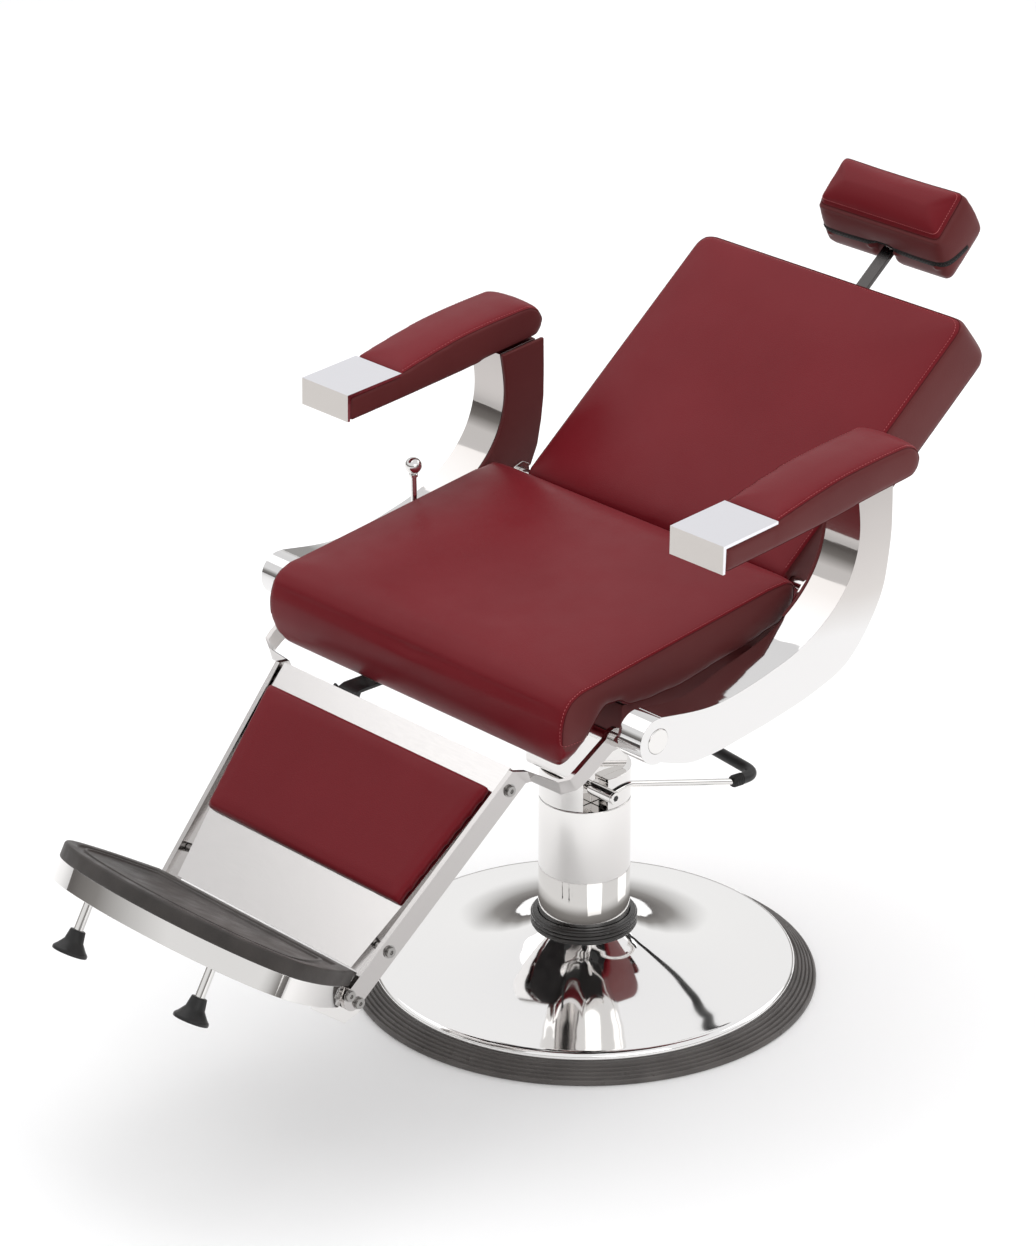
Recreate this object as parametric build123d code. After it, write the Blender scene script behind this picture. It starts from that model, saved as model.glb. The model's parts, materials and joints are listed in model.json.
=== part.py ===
from build123d import *
import math
import os

# Hydraulic barber chair: reclining back, swinging legrest, pump lift, swivel.
# Millimetres. Origin at the centre of the base on the floor, +Z up, the chair faces -Y.
# "_l" is the sitter's left side (+X). The solids are posed with the back reclined.

# ---- driving dimensions ----
BASE_R = 300.0            # outer radius of the rubber floor ring
RING_IN = 272.0           # where the ring meets the dome
COLUMN_R = 59.0           # chrome column cover
COLUMN_BOTTOM = 94.0
COLUMN_TOP = 257.0
HEAD_TOP = 300.0          # swivel head meets the seat carrier
BORE_R = 30.0             # pump bore
RUN = 0.05                # running clearance on a radius
TILT = (-20.0, 420.0)     # seat tilt axis, (y, z)
LEVER = (-30.0, 290.0)    # pump lever axis
HUB = (-210.4, 515.5)     # round boss at the front of each arm casting
KNEE = (-219.5, 499.0)    # legrest axis
HIP = (130.0, 584.0)      # back axis
SEAT_HALF = 268.0
SEAT_PITCH = 7.3          # seat top, front low
ARM_IN = 288.0            # arm pad and casting, inner face
ARM_OUT = 375.0           # arm pad, outer face
CASTING_OUT = 344.0
BACK_HALF = 232.0
BACK_SLOPE = 38.5         # back, degrees above level
BACK_FRONT = 21.3         # front face ahead of the axis
BACK_REAR = 52.7
BACK_LEN = 404.0
LEG_SLOPE = 43.9
LEG_TOP = (-318.3, 468.0)
LEG_LEN = 297.0
FOOT_SLOPE = 30.2
FOOT_TOP = (-543.2, 268.9)
BEAM = (30.0, 519.0)      # tube joining the two arm castings
EYE_OUT = 280.5           # outer face of the rail where it hangs on the pivot tube
RAIL_END = 327.0          # centre of the rail's rounded lower end
BOLTS = (-21.0, -1.0)     # footplate bolts, height off the panel face
SCREWS = ((23, 205.2), (258, 170.1))    # rail screws: distance down the rail, panel flange
LINK_FRONT = (-306.0, 450.0)            # drive link pin under the panel's top edge
LINK_REAR = (-150.0, 447.0)             # drive link pin at the recline gear
HEAD_HALF = 107.0
# Headrest section: front-lower, front-top, rear-top and rear-lower corners, (y, z).
HEAD = ((511.0, 902.0), (560.0, 956.0), (598.0, 897.0), (537.5, 838.0))

os.makedirs("parts", exist_ok=True)


def save(name, shape):
    """Write one solid as parts/NAME.step."""
    solids = shape.solids()
    body = max(solids, key=lambda s: s.volume)
    body.label = name
    export_step(body, f"parts/{name}.step")


def save_pair(name, shape):
    """Write a piece for the sitter's left and its mirror image for the right."""
    save(f"{name}_l", shape)
    save(f"{name}_r", mirror(shape, about=Plane.YZ))


def save_group(name, shapes):
    """Write identical fasteners, with their mirror images, as one group of solids."""
    both = [s.solid() for shape in shapes for s in (shape, mirror(shape, about=Plane.YZ))]
    group = Compound(label=name, children=both)
    export_step(group, f"parts/{name}.step")


def slab(points, x0, x1, radius=0):
    """Side outline of (y, z) points, filled between two x positions."""
    face = make_face(Polyline(*points, close=True))
    if radius:
        face = fillet(face.vertices(), radius)
    return Plane.YZ.offset(x0) * extrude(face, x1 - x0)


def turned(points):
    """Solid of revolution about Z from (r, z) points."""
    face = Plane.XZ * make_face(Polyline(*points, close=True))
    return revolve(face, Axis.Z)


def rod_x(centre, r, x0, x1):
    """Round bar along X with its axis at (y, z)."""
    return Plane.YZ.offset(x0) * (Pos(*centre) * extrude(Circle(r), x1 - x0))


def block(x0, x1, y0, y1, z0, z1):
    """Box from its two corners."""
    return Pos((x0 + x1) / 2, (y0 + y1) / 2, (z0 + z1) / 2) * Box(x1 - x0, y1 - y0, z1 - z0)


def sloped(origin, slope_up):
    """Working plane through (y, z): local x is X, local y runs up the slope towards +Y."""
    a = math.radians(slope_up)
    return Plane(origin=(0, *origin), x_dir=(1, 0, 0), z_dir=(0, -math.sin(a), math.cos(a)))


def soften(solid, edges, radius):
    """Round the given edges, stepping the radius down until the kernel accepts it."""
    for r in (radius, radius * 0.7, radius * 0.4, radius * 0.2):
        try:
            return fillet(edges, r)
        except Exception:
            continue
    return solid


# ---- base ----
def base():
    ring = [(277, 0), (BASE_R - 1, 0), (BASE_R, 1.5), (BASE_R, 4)]
    for i in range(5):
        r, z = BASE_R - 1.5 - 4.6 * i, 5.2 + 3.1 * i
        ring += [(r - 1.8, z + 1.2), (r - 2.9, z + 0.4), (r - 4.1, z + 2.4)]
    ring += [(274, 21), (RING_IN, 20), (RING_IN, 8), (277, 8)]
    save("base_ring", turned(ring))
    save("base_plate", turned([(0, 0), (277, 0), (277, 8), (0, 8)]))
    outer = [(RING_IN, 8), (RING_IN, 23), (270.5, 27), (267.5, 29.4), (263, 30.2), (235, 31.5),
             (195, 35), (155, 41.5), (120, 51), (95, 60.5), (78, 69), (66.2, 76)]
    inner = [(66.2, 73.2), (77, 66.6), (94, 58.2), (119, 48.8), (154.5, 39.2), (195, 32.6),
             (235, 29.1), (262, 27.8), (266, 27.2), (268.6, 25), (269.5, 22), (269.5, 8)]
    save("base_dome", turned(outer + inner))
    collar = [(59.6, 66), (65.6, 66), (66, 76), (68.2, 77), (68.2, 79), (66.8, 80), (66.8, 81),
              (67.8, 82), (67.8, 85), (66.4, 86), (66.4, 87), (67.2, 88), (67, 91), (64, 94),
              (59.6, 94)]
    save("column_collar", turned(collar))
    foot = [(BORE_R, 8), (66, 8), (66, 66), (46, 66), (46, 250), (BORE_R, 250)]
    save("pump_cylinder", turned(foot))


# ---- lift and swivel ----
def lift():
    r = BORE_R - RUN
    save("ram", turned([(0, 20), (r, 20), (r, 251), (20, 251), (20, 297), (0, 297)]))
    cover = [(56.5, COLUMN_BOTTOM), (58.2, COLUMN_BOTTOM), (COLUMN_R, 95), (COLUMN_R, 256.2),
             (58.2, COLUMN_TOP), (20, COLUMN_TOP), (20, 251), (56.5, 251)]
    save("column_cover", turned(cover))


def swivel():
    head = turned([(20 + RUN, 257.4), (58.2, 257.4), (COLUMN_R, 258.2), (COLUMN_R, HEAD_TOP),
                   (20 + RUN, HEAD_TOP)])
    y, z = LEVER
    head -= block(26, 70, y - 12, y + 16, 250, z + 11)
    head -= rod_x(LEVER, 5, 20, 30)
    save("swivel_head", head)
    pin = rod_x(LEVER, 5, 22.5, 88)
    pin += rod_x(LEVER, 8.2, 85, 88)
    save("lever_pin", pin)
    outer = [(-60, HEAD_TOP), (31, HEAD_TOP), (31, 440), (-100, 440), (-100, 396), (-60, 350)]
    inner = [(-54, 306), (25, 306), (25, 460), (-94, 460), (-94, 398), (-54, 352)]
    shell = slab(outer, -45, 45, 11) - slab(inner, -39, 39)
    save("carrier", shell - rod_x(TILT, 7, -60, 60))
    save("tilt_pin", rod_x(TILT, 7, -57, 57))


def pump_lever():
    y, z = LEVER
    sleeve = rod_x(LEVER, 8.5, 44, 84.8) - rod_x(LEVER, 5 + RUN, 40, 90)
    save("lever_sleeve", sleeve)
    path = [(77, y + 6, z + 3), (81, y + 15, z + 8), (84, y + 27, z + 10.5), (84, 205, 236)]
    rod = swept_rod(path, 4)
    save("lever_rod", rod - rod_x(LEVER, 8.5, 40, 90))
    tip = [(84, 182, 243.2), (84, 204, 237.5), (82, 217, 241), (74, 225, 246), (60, 229, 249),
           (-34, 229, 249)]
    save("lever_grip", swept_rod(tip, 8) - rod)


def swept_rod(path, r):
    """Round rod along straight runs, with ball corners."""
    rod = None
    for a, b in zip(path, path[1:]):
        run = Vector(*b) - Vector(*a)
        leg = Plane(origin=a, z_dir=run) * extrude(Circle(r), run.length)
        rod = leg if rod is None else rod + leg
    for p in path[1:-1]:
        rod += Pos(*p) * Sphere(r)
    return rod


# ---- seat ----
def pitched(y, drop=0.0):
    """Height of the seat top at y, less a drop."""
    return 611 + (y - 86) * math.tan(math.radians(SEAT_PITCH)) - drop


def seat():
    lower = [(98, 588), (92, 570), (70, 556), (0, 541), (-100, 525), (-150, 523), (-186, 526)]
    apron = [(-196, 537), (-222, 537), (-233, 526), (-252, 503), (-264, 486), (-272, 469),
             (-280, 470), (-287, 484), (-292, 508), (-292, 532), (-286, 550), (-274, 562), (-258, 568)]
    top = [(-240, pitched(-240)), (60, pitched(60)), (88, 609), (99, 600)]
    cushion = slab(lower + apron + top, -SEAT_HALF, SEAT_HALF)
    corner = [(224, 450), (232, 463), (250, 473), (262, 488), (269, 510), (275, 510), (275, 450)]
    for s in (-1, 1):
        face = Plane.XZ * make_face(Polyline(*[(s * x, z) for x, z in corner], close=True))
        cushion -= Pos(0, -230, 0) * extrude(face, 70)
    save("seat_cushion", cushion)

    wood = [(-186, 525), (-150, 522), (-100, 524), (0, 540), (70, 555), (92, 568), (104, 560),
            (108, 500), (60, 487), (-80, 470), (-176, 468), (-188, 480)]
    box = slab(wood, -258, 258)
    box -= slab([(-168, 505), (60, 533), (88, 520), (88, 507), (60, 501), (-80, 484), (-168, 482)],
                -246, 246)
    box -= rod_x(BEAM, 15, -300, 300)
    save("seat_base", box)
    seat_frame()


def seat_frame():
    lug = [(-34, 408), (-6, 408), (16, 479), (-56, 469)]
    frame = None
    for s in (-1, 1):
        x0, x1 = sorted((s * 45.3, s * 53))
        side = slab(lug, x0, x1, 6) - rod_x(TILT, 7 + RUN, x0 - 1, x1 + 1)
        frame = side if frame is None else frame + side
    spine = [(-176, 467.5), (-80, 469.5), (60, 486.5), (60, 479), (-80, 462), (-176, 460)]
    under = slab(spine, -78, 78)
    save("seat_frame", fit_under(frame + under))
    save("pivot_tube", rod_x(KNEE, 8, -306, 306) - rod_x(KNEE, 6, -310, 310))
    save("arm_beam", rod_x(BEAM, 15, -ARM_IN, ARM_IN) - rod_x(BEAM, 12.5, -300, 300))


def fit_under(frame):
    """Trim the frame so it stops at the underside of the upholstered base."""
    cap = slab([(-188, 468), (-176, 468), (-80, 470), (60, 487), (108, 500), (108, 620), (-188, 620)],
               -300, 300)
    return frame - cap


# ---- arms ----
def arms():
    rear = [(181, 748), (181.5, 705), (181, 668), (177, 636), (170, 602), (158, 576), (142, 552),
            (124, 531), (100, 513), (72, 502.5), (40, 493.5), (5, 486.5), (-30, 480.5), (-65, 476),
            (-100, 471.5), (-130, 469.5), (-158, 471), (-185, 479), (-205, 486.6)]
    inner = [(-205, 544.5), (-168, 538), (-143, 534.5), (-118, 533), (-93, 534.5), (-66, 538.5),
             (-40, 543.5), (-15, 549.5), (10, 556), (32, 564.5), (55, 576.5), (77, 591.5),
             (98, 612), (112, 633), (121, 656), (125.5, 682), (124.5, 707), (119, 741)]
    edge = Spline(*rear)
    line = Spline(*inner)
    face = make_face(edge + Line(rear[-1], inner[0]) + line + Line(inner[-1], rear[0]))
    face += Pos(*HUB) * Circle(29)
    blank = Plane.YZ.offset(ARM_IN) * extrude(face, CASTING_OUT - ARM_IN)
    wedge = [(280, -260), (306, -260), (306, -165), (ARM_IN, -60), (280, -60)]
    blank -= Pos(0, 0, 400) * extrude(make_face(Polyline(*wedge, close=True)), 200)
    bore = rod_x(KNEE, 8, 300, 320)
    recess = rod_x(HUB, 16, CASTING_OUT - 3, CASTING_OUT + 2)
    rest = slab(pad_seat(), 280, 390)
    save_pair("arm_casting", blank - bore - recess - rest)
    cap = rod_x(HUB, 15.8, CASTING_OUT - 3, CASTING_OUT + 1)
    save_pair("hub_cap", cap)
    panel = [(p[0] + 11, p[1]) for p in rear[:6]] + [(150, 572)]
    panel += [p for p in inner if p[1] > 570]
    save_pair("arm_panel", slab(panel, ARM_IN - 6, ARM_IN) - rest)
    pads()


def pad_seat():
    """Underside line of the arm pad, as the lower edge of a tall outline."""
    return [(-138, 715), (-48, 723), (53, 733.5), (121, 743.5), (184, 750.5), (200, 752), (260, 900),
            (-200, 900)]


def pads():
    front = [(-49.5, 758.5), (-49.5, 754.5), (-134.5, 747.5), (-136, 715.5), (-48, 723),
             (53, 733.5), (121, 743.5), (180, 750)]
    tail = [(180, 750), (190, 756), (195.5, 767), (193.5, 779), (184, 788), (165, 792)]
    crown = [(165, 792), (120, 789), (70, 783.5), (25, 775.5), (-15, 766.5), (-49.5, 758.5)]
    face = make_face(Polyline(*front) + Spline(*tail) + Spline(*crown))
    pad = Plane.YZ.offset(ARM_IN) * extrude(face, ARM_OUT - ARM_IN)
    save_pair("arm_pad", pad)
    bent = [(-140, 716), (-136.2, 716), (-135, 747.4), (-49.5, 754.7), (-49.5, 758.3), (-139.4, 751.5)]
    save_pair("arm_cap", slab(bent, ARM_IN - 0.6, ARM_OUT + 0.6) - pad)


# ---- back and headrest ----
def back_plane():
    return sloped(HIP, BACK_SLOPE)


def back():
    plane = back_plane()
    f, r, top = BACK_FRONT, -BACK_REAR, BACK_LEN
    side = [(0, f), (top - 10, f), (top - 3, f - 4), (top, f - 12), (top, r + 14), (top - 4, r + 4),
            (top - 14, r), (6, r), (-8, r + 5), (-16, r + 14), (-19, -18), (-20, -7), (-17, 8),
            (-10, 17)]
    face = make_face(Polyline(*side, close=True))
    body = plane * (Plane.YZ.offset(-BACK_HALF) * extrude(face, 2 * BACK_HALF))
    corner = RectangleRounded(2 * BACK_HALF, 900, 24)
    body = body & (plane * Pos(0, top - 450, -150) * extrude(corner, 300))
    body -= rod_x(HIP, 7, -300, 300)
    body -= plane * in_local(-13, 13, 228, top + 20, -45, -33)
    save("back_cushion", body)
    save("back_rod", rod_x(HIP, 7, -264, 264))
    socket = plane * in_local(-13, 13, 228, top + 3, -45, -33)
    socket -= plane * in_local(-9.6, 9.6, 226, top + 10, -42.1, -35.9)
    save("headrest_socket", socket)
    bar = plane * in_local(-9.5, 9.5, 250, top + 111, -42, -36)
    eye_at = plane * Pos(0, top + 111, -39)
    bar += eye_at * (Rot(0, 90, 0) * Cylinder(9, 19))
    bar -= eye_at * (Rot(0, 90, 0) * Cylinder(4 + RUN, 30))
    save("headrest_bar", bar)
    headrest(eye_at)
    bracket = [(48, 490), (104, 502), (112, 545), (HIP[0] + 14, HIP[1] - 8), (HIP[0] + 13, HIP[1] + 9),
               (HIP[0] + 2, HIP[1] + 15), (HIP[0] - 12, HIP[1] + 11), (104, 580), (80, 540), (48, 530)]
    plate = slab(bracket, 258, 263.5) - rod_x(HIP, 7 + RUN, 250, 270)
    save_pair("hinge_bracket", plate)


def in_local(x0, x1, y0, y1, z0, z1):
    """Box in a working plane's own axes."""
    return Pos((x0 + x1) / 2, (y0 + y1) / 2, (z0 + z1) / 2) * Box(x1 - x0, y1 - y0, z1 - z0)


def facing(a, b):
    """Working plane through a, local y towards b."""
    return sloped(a, math.degrees(math.atan2(b[1] - a[1], b[0] - a[0])))


def headrest(eye_at):
    low, top, rear_top, rear_low = HEAD
    block = slab(HEAD, -HEAD_HALF, HEAD_HALF)
    block = soften(block, block.edges(), 9)
    rear = facing(rear_low, rear_top)
    block -= rear * in_local(-14, 14, -40, 62, -10, 31)
    tape = facing(low, rear_low)
    band = tape * in_local(-HEAD_HALF - 0.5, HEAD_HALF + 0.5, 34, 41, -0.5, 44)
    band -= tape * in_local(2 - HEAD_HALF, HEAD_HALF - 2, 30, 45, 2, 60)
    save("headrest_cushion", block - band)
    save("headrest_zip", band)
    bracket = rear * in_local(-30, 30, 22, 56, -3, 0)
    for s in (-1, 1):
        bracket += rear * in_local(*sorted((s * 9.8, s * 13.8)), 26, 53, 0, 21)
    bracket += eye_at * (Rot(0, 90, 0) * Cylinder(4, 27.4))
    save("headrest_knuckle", bracket)


# ---- legrest ----
def leg_plane():
    return sloped(LEG_TOP, LEG_SLOPE)


def legrest():
    plane = leg_plane()
    outer = [(-206, 0), (-204, -33), (-178, -206), (-162, -LEG_LEN), (162, -LEG_LEN), (178, -206),
             (204, -33), (206, 0)]
    inset = [(-203, -2), (-201, -33), (-175, -206), (-159, 2 - LEG_LEN), (159, 2 - LEG_LEN),
             (175, -206), (201, -33), (203, -2)]
    panel = extrude(make_face(Polyline(*outer, close=True)), -18)
    panel -= Pos(0, 0, -2) * extrude(make_face(Polyline(*inset, close=True)), -30)
    panel = plane * (panel - in_local(-126, -78, -12, 2, -40, -8))
    for s, _ in SCREWS:
        panel -= rod_x(screw_at(s), 3, -260, 260)
    save("leg_panel", panel)
    pad = make_face(Polyline((-201, -34), (-176, -205), (176, -205), (201, -34), close=True))
    cushion = extrude(pad, 10)
    cushion = soften(cushion, cushion.faces().sort_by(Axis.Z)[-1].edges(), 7)
    save("calf_pad", plane * cushion)
    rail()
    screws()


def rail_half(s):
    """Outer face of a rail at distance s down the slope."""
    return 217 - 31 * s / LEG_LEN


def rail():
    """Flat bar on edge: eye on the pivot tube, crank inwards, straight run to the footplate."""
    a = math.radians(LEG_SLOPE)
    down = Vector(0, -math.cos(a), -math.sin(a))
    nrm = Vector(0, -math.sin(a), math.cos(a))
    top = Vector(0, *LEG_TOP)
    t = 7.0

    def section(centre, half, across, x):
        c = Vector(x, centre.Y, centre.Z)
        w = across * half
        return [c + w, c + w - Vector(t, 0, 0), c - w - Vector(t, 0, 0), c - w]

    def at(s, n):
        return top + down * s + nrm * n

    knee = Vector(0, *KNEE)
    elbow = Vector(0, -284, 460)
    run = (knee - elbow).normalized()
    side = Vector(0, -run.Z, run.Y)
    rings = [section(at(RAIL_END, -11), 15, nrm, rail_half(RAIL_END)),
             section(at(4, -11), 15, nrm, rail_half(4)),
             section(Vector(0, -301, 456), 8, (nrm + Vector(0, 0, 1)).normalized(), 221),
             section(Vector(0, -293, 453), 9, (side + Vector(0, 0, 1)).normalized(), 264),
             section(elbow, 10, side, EYE_OUT - 2),
             section(elbow + run * 12, 11, side, EYE_OUT),
             section(knee, 11, side, EYE_OUT)]
    wires = [Wire(Polyline(*r, close=True).edges()) for r in rings]
    bar = Solid.make_loft(wires, True)
    eye = rod_x(KNEE, 14.5, EYE_OUT - t, EYE_OUT)
    bar = bar + eye - rod_x(KNEE, 8 + RUN, 240, 290)
    end = at(RAIL_END, -11)
    face = rail_half(RAIL_END)
    bar += rod_x((end.Y, end.Z), 15, face - t, face)
    for n in BOLTS:
        bar -= rod_x(bolt_at(n), 3.5, 150, 220)
    for s, _ in SCREWS:
        bar -= rod_x(screw_at(s), 3, 150, 240)
    save_pair("leg_rail", bar)


def bolt_at(n):
    c = leg_plane() * Pos(0, -RAIL_END, n)
    return c.position.Y, c.position.Z


def screw_at(s):
    c = leg_plane() * Pos(0, -s, -11)
    return c.position.Y, c.position.Z


def screws():
    """Rail screws with their spacers: they carry the panel between the rails."""
    pins = []
    for s, inner in SCREWS:
        at, x = screw_at(s), rail_half(s)
        pin = rod_x(at, 3, inner - 8, x + 1) + rod_x(at, 6, inner, x - 8)
        pins.append(pin + rod_x(at, 6.5, x + 0.9, x + 4.4) - rod_x(at, 2.6, x + 2.2, x + 5))
    save_group("rail_screws", pins)


# ---- drive link ----

def link():
    (y0, z0), (y1, z1) = LINK_FRONT, LINK_REAR
    strap = [(y0 - 3, z0), (y0 - 1, z0 + 12), (y0 + 8, z0 + 15), (-250, 465), (y1 + 3, z1 + 2),
             (y1 - 1, z1 - 4), (-252, 460), (y0 + 9, z0 + 10), (y0 + 4, z0)]
    bar = slab(strap, -118, -86)
    for centre in (LINK_FRONT, LINK_REAR):
        bar += rod_x(centre, 7.5, -118, -86)
        bar -= rod_x(centre, 4 + RUN, -130, -80)
    save("drive_link", bar)
    pin = rod_x(LINK_FRONT, 4, -123, -81)
    panel = in_local(-300, 300, -400, 100, -2, 40) + in_local(-300, 300, -2.5, 100, -8.5, 40)
    cut = leg_plane() * panel
    ear = [(-324, 452), (-314, 441), (-302, 443), (-299, 452), (-312, 470), (-330, 470)]
    for x0 in (-122.5, -85.5):
        pin += slab(ear, x0, x0 + 4) - cut
    save("link_bracket", pin)


# ---- footplate ----
def foot_outline(inset=0.0):
    """Footplate plan: straight back edge, widening sides, elliptical front."""
    half, rear, deep, bow = 218 - inset, 182 - inset, 114.0, 85 - inset
    pts = [(rear, -inset)]
    for i in range(1, 6):
        t = i / 6
        pts.append((rear + (half - rear) * math.sin(t * math.pi / 2), -inset - (deep - inset) * t))
    for i in range(25):
        t = math.pi * i / 24
        pts.append((half * math.cos(t), -deep - bow * math.sin(t)))
    left = [(-x, y) for x, y in reversed(pts[:6])]
    return make_face(Polyline(*(pts + left), close=True))


def footplate():
    plane = sloped(FOOT_TOP, -FOOT_SLOPE)
    mat = Pos(0, 0, -19.4) * extrude(foot_outline(), 19.4)
    mat -= Pos(0, 0, -1.6) * extrude(foot_outline(20), 5)
    save("foot_mat", plane * mat)
    tray = Pos(0, 0, -46.8) * extrude(foot_outline(1.5), 27.4)
    tray -= Pos(0, 0, -50) * extrude(foot_outline(4.5), 27.6)
    x = rail_half(RAIL_END + 16) - 7.3
    (py, pz), (sy, sz) = bolt_at(BOLTS[0]), bolt_at(BOLTS[1])
    lug = slab([(sy + 9, sz + 12), (py + 12, pz + 2), (py + 9, pz - 20), (py - 14, pz - 26),
                (-600, 235), (-600, 262), (-575, 268)], x - 6, x)
    lug -= plane * in_local(-400, 400, -400, 400, -19.4, 60)
    for n in BOLTS:
        lug -= rod_x(bolt_at(n), 3.5, x - 20, x + 10)
    save("foot_tray", plane * tray + lug + mirror(lug, about=Plane.YZ))
    bolts = []
    for n in BOLTS:
        at = bolt_at(n)
        bolt = rod_x(at, 3.5, x - 11, x + 10) + rod_x(at, 6.5, x + 9.9, x + 13.4)
        bolts.append(bolt - rod_x(at, 2.6, x + 11.2, x + 14) + rod_x(at, 6, x - 10.5, x - 6))
    save_group("foot_bolts", bolts)
    post_foot(plane)


def post_foot(plane):
    """Two posts under the footplate with flared rubber feet."""
    at = plane * Pos(114, -156, -116)
    save_pair("foot_post", at * Pos(0, 0, 12) * extrude(Circle(6), 81.4))
    cone = [(0, 0), (22, 0), (22, 4), (18, 8), (12, 16), (9.5, 30), (6, 30), (6, 12), (0, 12)]
    save_pair("foot_pad", at * turned(cone))


# ---- recline lever ----
def recline():
    x, y, z = -273, -42, 518
    rod = swept_rod([(x, y, z), (x, y - 2, 628)], 4)
    rod += rod_x((y, z), 9, x - 4, x + 4)
    rod -= rod_x((y, z), 4 + RUN, x - 20, x + 20)
    save("recline_rod", rod)
    save("recline_pin", rod_x((y, z), 4, x - 7, -258))
    knob = Pos(x, y - 2, 636) * Sphere(11)
    save("recline_knob", knob - swept_rod([(x, y, z), (x, y - 2, 628)], 4))


base()
lift()
swivel()
pump_lever()
seat()
arms()
back()
legrest()
link()
footplate()
recline()
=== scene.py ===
import json
import math

import bmesh
import bpy
from mathutils import Matrix, Vector
from mathutils.bvhtree import BVHTree


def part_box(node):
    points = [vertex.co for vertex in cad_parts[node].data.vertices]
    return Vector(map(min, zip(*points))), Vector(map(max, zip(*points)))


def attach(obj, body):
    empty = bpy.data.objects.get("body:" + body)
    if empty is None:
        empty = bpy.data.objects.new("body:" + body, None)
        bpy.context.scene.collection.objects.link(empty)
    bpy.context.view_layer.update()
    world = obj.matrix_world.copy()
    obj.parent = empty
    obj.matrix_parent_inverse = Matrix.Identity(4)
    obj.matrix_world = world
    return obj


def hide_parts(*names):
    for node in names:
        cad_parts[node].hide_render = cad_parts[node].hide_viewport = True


# Hydraulic barber chair. Metres, origin at the centre of the base on the floor,
# +Z up, the chair faces -Y, +X is the sitter's left.

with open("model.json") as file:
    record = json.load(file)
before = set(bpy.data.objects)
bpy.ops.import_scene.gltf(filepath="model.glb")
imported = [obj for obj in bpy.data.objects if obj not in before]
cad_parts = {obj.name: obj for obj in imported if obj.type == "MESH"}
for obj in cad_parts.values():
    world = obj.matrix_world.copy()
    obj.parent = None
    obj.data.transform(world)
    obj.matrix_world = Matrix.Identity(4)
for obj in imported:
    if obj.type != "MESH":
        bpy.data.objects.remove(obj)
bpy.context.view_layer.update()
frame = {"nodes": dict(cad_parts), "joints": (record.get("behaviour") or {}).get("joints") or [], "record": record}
MM = 0.001

# ---- driving dimensions: slopes in degrees, the rest in millimetres ----
SIDES = {"l": 1.0, "r": -1.0}
SEAT_SLOPE = 7.3
BACK_SLOPE = 38.5
HEAD_SLOPE = 47.8           # headrest, front face
HEAD_REAR_SLOPE = 44.3
LEG_SLOPE = 43.9
FOOT_SLOPE = -30.2
ARM_SLOPE = 5.7             # underside of the arm pads
RING_R = 272.0              # where the floor ring meets the dome
ROD_R = 4.0                 # pump lever rod
GRIP_R = 7.6
BACK_HALF = 231.5           # back cushion, half width at its seams
BACK_LEN = 402.0
SHOULDER_R = 24.0           # rounded top corners of the back
SLOT_HALF = 19.0            # headrest bar slot, half width


def joint(name):
    return next(j for j in frame["joints"] if j["name"] == name)


HIP = Vector(joint("back_recline")["pos_m"])
KNEE = Vector(joint("legrest_swing")["pos_m"])
SEAT_MID = Vector((0, 0.086, 0.611))
HEAD_FRONT_MID = Vector((0, 0.5355, 0.929))
HEAD_REAR_MID = Vector((0, 0.56775, 0.8675))
HEAD_LOW_FRONT = Vector((0, 0.511, 0.902))      # lower boxing of the headrest, its two edges
HEAD_LOW_REAR = Vector((0, 0.5375, 0.838))
LEG_TOP = Vector((0, -0.3183, 0.468))
FOOT_TOP = Vector((0, -0.5432, 0.2689))
ARM_LEVEL = Vector((0, 0, 0.75))
CAP_STEP = Vector((0, -0.0495, 0.7585))         # rear edge of the arm caps
CAP_UNDER = 0.7535                              # height of the caps' underside there


def tilted(origin, slope):
    """Matrix of a plane through origin: x is X, y runs up the slope and z is the normal."""
    return Matrix.Translation(origin) @ Matrix.Rotation(math.radians(slope), 4, "X")


BACK = tilted(HIP, BACK_SLOPE)
HEAD = tilted(HEAD_FRONT_MID, HEAD_SLOPE)
HEAD_REAR = tilted(HEAD_REAR_MID, HEAD_REAR_SLOPE)
LEG = tilted(LEG_TOP, LEG_SLOPE)
FOOT = tilted(FOOT_TOP, FOOT_SLOPE)


# ---- materials ----
def material(name, colour, rough, metal=0.0, **sockets):
    """Principled material with constants on its own sockets."""
    m = bpy.data.materials.new(name)
    m.use_nodes = True
    b = m.node_tree.nodes["Principled BSDF"]
    b.inputs["Base Color"].default_value = (*colour, 1)
    b.inputs["Roughness"].default_value = rough
    b.inputs["Metallic"].default_value = metal
    for key, value in sockets.items():
        b.inputs[key.replace("_", " ")].default_value = value
    return m, m.node_tree, b


def add(tree, kind, **inputs):
    """New node with its sockets set."""
    n = tree.nodes.new(kind)
    for key, value in inputs.items():
        n.inputs[key].default_value = value
    return n


def ramp(tree, source, stops):
    """Colour ramp fed by a value socket; stops are (place, colour)."""
    r = tree.nodes.new("ShaderNodeValToRGB")
    while len(r.color_ramp.elements) < len(stops):
        r.color_ramp.elements.new(0.5)
    for e, (place, colour) in zip(r.color_ramp.elements, stops):
        e.position, e.color = place, (*colour, 1)
    tree.links.new(source, r.inputs["Fac"])
    return r


def noise(tree, scale, detail, stretch=(1, 1, 1)):
    """Noise over the object's own space."""
    coord = tree.nodes.new("ShaderNodeTexCoord")
    mapping = tree.nodes.new("ShaderNodeMapping")
    mapping.inputs["Scale"].default_value = stretch
    n = add(tree, "ShaderNodeTexNoise", Scale=scale, Detail=detail)
    tree.links.new(coord.outputs["Object"], mapping.inputs["Vector"])
    tree.links.new(mapping.outputs["Vector"], n.inputs["Vector"])
    return n


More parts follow.
